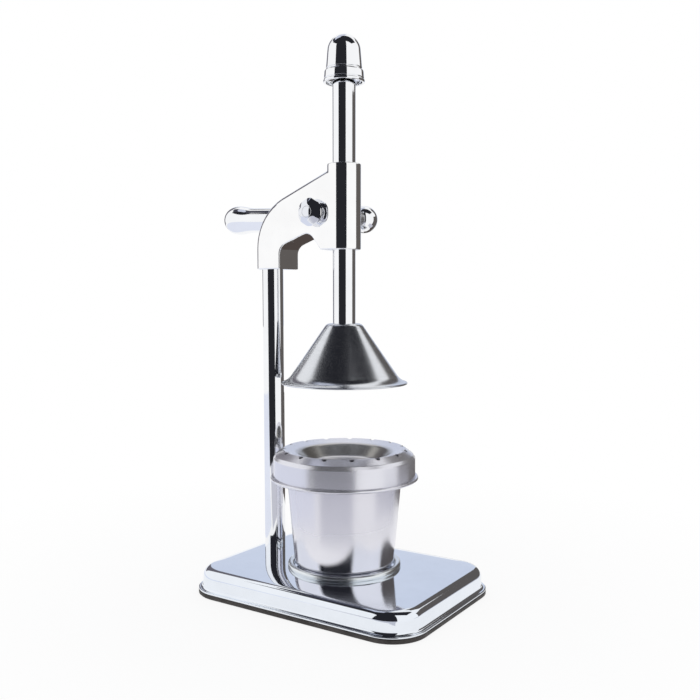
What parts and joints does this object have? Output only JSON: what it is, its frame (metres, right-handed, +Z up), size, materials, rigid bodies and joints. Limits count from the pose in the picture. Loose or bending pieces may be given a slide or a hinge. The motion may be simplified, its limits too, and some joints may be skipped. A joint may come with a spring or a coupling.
{
  "type": "lever citrus press",
  "caption": "Chrome hand lever citrus press: rack and pinion ram with a press cone on a column, over a strainer and a cup on a rectangular base.",
  "frame": {"origin": "middle of the rubber pad's underside, which lies on the table", "axes": "+X along the long side of the base, from the column towards the cup; +Y towards the lever; +Z up along the ram"},
  "size_m": [0.2479, 0.136, 0.394],
  "materials": {
    "chrome": "mirror polished plating",
    "chrome_base": "polished plating on pressed sheet",
    "chrome_cast": "polished plated casting",
    "brushed": "turned stainless sheet",
    "satin": "satin stainless sheet",
    "plain_steel": "plain machined steel",
    "rubber": "black rubber"
  },
  "bodies": {
    "stand": {"base_shell": "chrome_base", "base_pad": "rubber", "locating_ring": "chrome_base", "column_tube": "chrome", "column_plug": "plain_steel", "column_washer": "plain_steel", "column_bolt": "plain_steel", "head_casting": "chrome_cast", "set_screws": "plain_steel", "bearing_bush": "chrome_cast"},
    "crank": {"pinion_shaft": "plain_steel", "pinion_gear": "plain_steel", "pinion_key": "plain_steel", "shaft_washer": "chrome", "dome_nut": "chrome", "lever_handle": "chrome", "lever_screw": "plain_steel"},
    "ram": {"rack_rod": "chrome", "end_cap": "chrome", "press_cone": "brushed", "cone_washer": "plain_steel", "cone_screw": "plain_steel"},
    "cup": {"cup": "satin"},
    "strainer": {"strainer_ring": "brushed", "strainer_dish": "brushed"}
  },
  "joints": [
    {"name": "lever_turn", "type": "hinge", "parent": "stand", "child": "crank", "pos_m": [-0.01622, 0, 0.2736], "axis": [0, 1, 0], "range_deg": [0, 176.6]},
    {"name": "ram_slide", "type": "slide", "parent": "stand", "child": "ram", "axis": [0, 0, -1], "range_m": [0, 0.037]},
    {"name": "cup_lift", "type": "slide", "parent": "stand", "child": "cup", "axis": [0, 0, 1], "range_m": [0, 0.004]},
    {"name": "strainer_lift", "type": "slide", "parent": "cup", "child": "strainer", "axis": [0, 0, 1], "range_m": [0, 0.004]}
  ],
  "couplings": [
    {"joint": "ram_slide", "follows": "lever_turn", "m_per_rad": 0.012}
  ]
}
